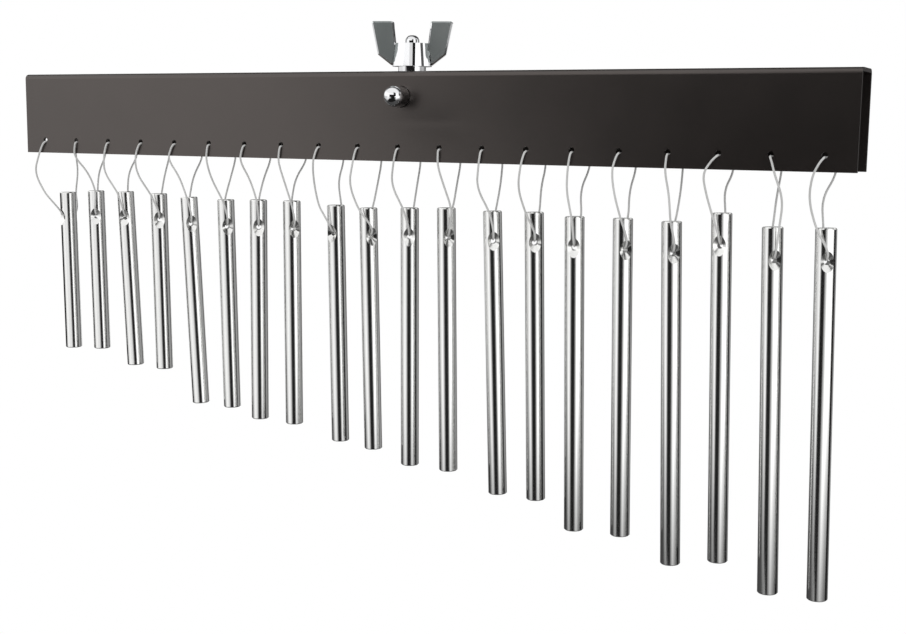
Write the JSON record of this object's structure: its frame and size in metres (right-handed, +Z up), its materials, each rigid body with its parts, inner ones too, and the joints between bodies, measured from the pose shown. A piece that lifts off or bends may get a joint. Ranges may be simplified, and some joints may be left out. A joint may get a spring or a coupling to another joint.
{
  "type": "bar chimes",
  "caption": "Bar chimes: graded aluminium bars hang on cord loops under a black channel mantle, which a wing nut and eye bolt clamp to a round mounting post.",
  "frame": {"origin": "on the mounting post's axis, where the post's free rear stretch begins just behind the mantle", "axes": "+X along the mantle towards the long bars, +Y along the post towards its free rear end, +Z up"},
  "size_m": [0.424, 0.0788, 0.2378],
  "materials": {
    "black_sheet": "satin black",
    "bar_aluminium": "polished",
    "cord": "braided",
    "chrome": "polished"
  },
  "bodies": {
    "post": {"mounting_post": "chrome"},
    "mantle": {"mantle": "black_sheet", "washer": "chrome"},
    "wing_nut": {"wing_nut": "chrome"},
    "eye_bolt": {"eye_bolt": "chrome"},
    "cord_01": {"cord_01": "cord"},
    "chime_01": {"chime_01": "bar_aluminium"},
    "cord_02": {"cord_02": "cord"},
    "chime_02": {"chime_02": "bar_aluminium"},
    "cord_03": {"cord_03": "cord"},
    "chime_03": {"chime_03": "bar_aluminium"},
    "cord_04": {"cord_04": "cord"},
    "chime_04": {"chime_04": "bar_aluminium"},
    "cord_05": {"cord_05": "cord"},
    "chime_05": {"chime_05": "bar_aluminium"},
    "cord_06": {"cord_06": "cord"},
    "chime_06": {"chime_06": "bar_aluminium"},
    "cord_07": {"cord_07": "cord"},
    "chime_07": {"chime_07": "bar_aluminium"},
    "cord_08": {"cord_08": "cord"},
    "chime_08": {"chime_08": "bar_aluminium"},
    "cord_09": {"cord_09": "cord"},
    "chime_09": {"chime_09": "bar_aluminium"},
    "cord_10": {"cord_10": "cord"},
    "chime_10": {"chime_10": "bar_aluminium"},
    "cord_11": {"cord_11": "cord"},
    "chime_11": {"chime_11": "bar_aluminium"},
    "cord_12": {"cord_12": "cord"},
    "chime_12": {"chime_12": "bar_aluminium"},
    "cord_13": {"cord_13": "cord"},
    "chime_13": {"chime_13": "bar_aluminium"},
    "cord_14": {"cord_14": "cord"},
    "chime_14": {"chime_14": "bar_aluminium"},
    "cord_15": {"cord_15": "cord"},
    "chime_15": {"chime_15": "bar_aluminium"},
    "cord_16": {"cord_16": "cord"},
    "chime_16": {"chime_16": "bar_aluminium"},
    "cord_17": {"cord_17": "cord"},
    "chime_17": {"chime_17": "bar_aluminium"},
    "cord_18": {"cord_18": "cord"},
    "chime_18": {"chime_18": "bar_aluminium"},
    "cord_19": {"cord_19": "cord"},
    "chime_19": {"chime_19": "bar_aluminium"},
    "cord_20": {"cord_20": "cord"},
    "chime_20": {"chime_20": "bar_aluminium"}
  },
  "joints": [
    {"name": "mantle_slide", "type": "slide", "parent": "post", "child": "mantle", "axis": [0, 1, 0], "range_m": [-0.008, 0.02]},
    {"name": "wing_nut_turn", "type": "hinge", "parent": "mantle", "child": "wing_nut", "pos_m": [0, -0.0124, 0.01375], "axis": [0, 0, 1], "range_deg": [0, 360]},
    {"name": "eye_bolt_lower", "type": "slide", "parent": "mantle", "child": "eye_bolt", "axis": [0, 0, -1], "range_m": [0, 0.00127]},
    {"name": "cord_01_swing", "type": "hinge", "parent": "mantle", "child": "cord_01", "pos_m": [-0.2115, -0.0124, -0.02305], "axis": [0, 1, 0], "range_deg": [-6.2, 15]},
    {"name": "chime_01_pivot", "type": "hinge", "parent": "cord_01", "child": "chime_01", "pos_m": [-0.21132, -0.0074, -0.06255], "axis": [0.3907, 0.9205, 0.0055], "range_deg": [-9.6, 25]},
    {"name": "cord_02_swing", "type": "hinge", "parent": "mantle", "child": "cord_02", "pos_m": [-0.1905, -0.0124, -0.02305], "axis": [0, 1, 0], "range_deg": [-6.2, 6.2]},
    {"name": "chime_02_pivot", "type": "hinge", "parent": "cord_02", "child": "chime_02", "pos_m": [-0.19028, -0.009, -0.06105], "axis": [-0.4999, 0.866, -0.0087], "range_deg": [-9.6, 9.6]},
    {"name": "cord_03_swing", "type": "hinge", "parent": "mantle", "child": "cord_03", "pos_m": [-0.1695, -0.0124, -0.02305], "axis": [0, 1, 0], "range_deg": [-4.6, 5.9]},
    {"name": "chime_03_pivot", "type": "hinge", "parent": "cord_03", "child": "chime_03", "pos_m": [-0.1689, -0.0104, -0.06074], "axis": [-0.3252, 0.9455, -0.0153], "range_deg": [-6.9, 8.7]},
    {"name": "cord_04_swing", "type": "hinge", "parent": "mantle", "child": "cord_04", "pos_m": [-0.1485, -0.0124, -0.02305], "axis": [0, 1, 0], "range_deg": [-5.8, 4.6]},
    {"name": "chime_04_pivot", "type": "hinge", "parent": "cord_04", "child": "chime_04", "pos_m": [-0.14826, -0.0096, -0.06115], "axis": [-0.5877, 0.809, -0.0113], "range_deg": [-8.7, 6.8]},
    {"name": "cord_05_swing", "type": "hinge", "parent": "mantle", "child": "cord_05", "pos_m": [-0.1275, -0.0124, -0.02305], "axis": [0, 1, 0], "range_deg": [-3.8, 5.2]},
    {"name": "chime_05_pivot", "type": "hinge", "parent": "cord_05", "child": "chime_05", "pos_m": [-0.12682, -0.0119, -0.06213], "axis": [-0.7303, 0.682, -0.0396], "range_deg": [-5.4, 7.4]},
    {"name": "cord_06_swing", "type": "hinge", "parent": "mantle", "child": "cord_06", "pos_m": [-0.1065, -0.0124, -0.02305], "axis": [0, 1, 0], "range_deg": [-4, 3.8]},
    {"name": "chime_06_pivot", "type": "hinge", "parent": "cord_06", "child": "chime_06", "pos_m": [-0.10619, -0.0096, -0.06275], "axis": [-0.7069, 0.7071, -0.0173], "range_deg": [-5.8, 5.4]},
    {"name": "cord_07_swing", "type": "hinge", "parent": "mantle", "child": "cord_07", "pos_m": [-0.0855, -0.0124, -0.02305], "axis": [0, 1, 0], "range_deg": [-5, 3.9]},
    {"name": "chime_07_pivot", "type": "hinge", "parent": "cord_07", "child": "chime_07", "pos_m": [-0.0855, -0.0115, -0.06205], "axis": [-0.5736, 0.8192, 0], "range_deg": [-7.1, 5.5]},
    {"name": "cord_08_swing", "type": "hinge", "parent": "mantle", "child": "cord_08", "pos_m": [-0.0645, -0.0124, -0.02305], "axis": [0, 1, 0], "range_deg": [-5, 5]},
    {"name": "chime_08_pivot", "type": "hinge", "parent": "cord_08", "child": "chime_08", "pos_m": [-0.06439, -0.0138, -0.06175], "axis": [-0.766, 0.6428, -0.0067], "range_deg": [-7, 7.1]},
    {"name": "cord_09_swing", "type": "hinge", "parent": "mantle", "child": "cord_09", "pos_m": [-0.0435, -0.0124, -0.02305], "axis": [0, 1, 0], "range_deg": [-4.8, 4.8]},
    {"name": "chime_09_pivot", "type": "hinge", "parent": "cord_09", "child": "chime_09", "pos_m": [-0.04321, -0.0076, -0.06325], "axis": [0.1391, 0.9903, 0.0032], "range_deg": [-6.7, 6.6]},
    {"name": "cord_10_swing", "type": "hinge", "parent": "mantle", "child": "cord_10", "pos_m": [-0.0225, -0.0124, -0.02305], "axis": [0, 1, 0], "range_deg": [-3.9, 4.8]},
    {"name": "chime_10_pivot", "type": "hinge", "parent": "cord_10", "child": "chime_10", "pos_m": [-0.02215, -0.0128, -0.06355], "axis": [-0.7877, 0.6157, -0.022], "range_deg": [-5.4, 6.7]},
    {"name": "cord_11_swing", "type": "hinge", "parent": "mantle", "child": "cord_11", "pos_m": [-0.0015, -0.0124, -0.02305], "axis": [0, 1, 0], "range_deg": [-4.6, 3.7]},
    {"name": "chime_11_pivot", "type": "hinge", "parent": "cord_11", "child": "chime_11", "pos_m": [-0.00139, -0.0109, -0.06285], "axis": [-0.3907, 0.9205, -0.0034], "range_deg": [-6.3, 5.1]},
    {"name": "cord_12_swing", "type": "hinge", "parent": "mantle", "child": "cord_12", "pos_m": [0.0195, -0.0124, -0.02305], "axis": [0, 1, 0], "range_deg": [-4.6, 4.6]},
    {"name": "chime_12_pivot", "type": "hinge", "parent": "cord_12", "child": "chime_12", "pos_m": [0.01977, -0.0149, -0.06185], "axis": [-0.6945, 0.7193, -0.0145], "range_deg": [-6.2, 6.3]},
    {"name": "cord_13_swing", "type": "hinge", "parent": "mantle", "child": "cord_13", "pos_m": [0.0405, -0.0124, -0.02305], "axis": [0, 1, 0], "range_deg": [-3.8, 4.3]},
    {"name": "chime_13_pivot", "type": "hinge", "parent": "cord_13", "child": "chime_13", "pos_m": [0.04099, -0.0107, -0.06264], "axis": [-0.4845, 0.8746, -0.0186], "range_deg": [-5.2, 5.8]},
    {"name": "cord_14_swing", "type": "hinge", "parent": "mantle", "child": "cord_14", "pos_m": [0.0615, -0.0124, -0.02305], "axis": [0, 1, 0], "range_deg": [-4.1, 3.9]},
    {"name": "chime_14_pivot", "type": "hinge", "parent": "cord_14", "child": "chime_14", "pos_m": [0.06185, -0.0123, -0.06225], "axis": [-0.4693, 0.8829, -0.0131], "range_deg": [-5.5, 5.2]},
    {"name": "cord_15_swing", "type": "hinge", "parent": "mantle", "child": "cord_15", "pos_m": [0.0825, -0.0124, -0.02305], "axis": [0, 1, 0], "range_deg": [-4, 3.8]},
    {"name": "chime_15_pivot", "type": "hinge", "parent": "cord_15", "child": "chime_15", "pos_m": [0.08279, -0.0172, -0.06305], "axis": [-0.2756, 0.9613, -0.0063], "range_deg": [-5.3, 5.1]},
    {"name": "cord_16_swing", "type": "hinge", "parent": "mantle", "child": "cord_16", "pos_m": [0.1035, -0.0124, -0.02305], "axis": [0, 1, 0], "range_deg": [-4.1, 4]},
    {"name": "chime_16_pivot", "type": "hinge", "parent": "cord_16", "child": "chime_16", "pos_m": [0.10376, -0.0149, -0.06305], "axis": [-0.669, 0.7431, -0.014], "range_deg": [-5.4, 5.3]},
    {"name": "cord_17_swing", "type": "hinge", "parent": "mantle", "child": "cord_17", "pos_m": [0.1245, -0.0124, -0.02305], "axis": [0, 1, 0], "range_deg": [-3.7, 3.9]},
    {"name": "chime_17_pivot", "type": "hinge", "parent": "cord_17", "child": "chime_17", "pos_m": [0.1249, -0.0138, -0.06354], "axis": [-0.5444, 0.8387, -0.0171], "range_deg": [-4.9, 5]},
    {"name": "cord_18_swing", "type": "hinge", "parent": "mantle", "child": "cord_18", "pos_m": [0.1455, -0.0124, -0.02305], "axis": [0, 1, 0], "range_deg": [-3.9, 3.8]},
    {"name": "chime_18_pivot", "type": "hinge", "parent": "cord_18", "child": "chime_18", "pos_m": [0.14585, -0.0134, -0.05924], "axis": [-0.0349, 0.9994, -0.001], "range_deg": [-5, 4.9]},
    {"name": "cord_19_swing", "type": "hinge", "parent": "mantle", "child": "cord_19", "pos_m": [0.1665, -0.0124, -0.02305], "axis": [0, 1, 0], "range_deg": [-3.5, 3.7]},
    {"name": "chime_19_pivot", "type": "hinge", "parent": "cord_19", "child": "chime_19", "pos_m": [0.1669, -0.0133, -0.06404], "axis": [-0.5148, 0.8572, -0.0162], "range_deg": [-4.5, 4.8]},
    {"name": "cord_20_swing", "type": "hinge", "parent": "mantle", "child": "cord_20", "pos_m": [0.1875, -0.0124, -0.02305], "axis": [0, 1, 0], "range_deg": [-15, 3.5]},
    {"name": "chime_20_pivot", "type": "hinge", "parent": "cord_20", "child": "chime_20", "pos_m": [0.18783, -0.0124, -0.06365], "axis": [-0.4066, 0.9135, -0.0106], "range_deg": [-9, 4.5]}
  ],
  "couplings": [
    {"joint": "wing_nut_turn", "follows": "eye_bolt_lower", "rad_per_m": 4947.4}
  ]
}
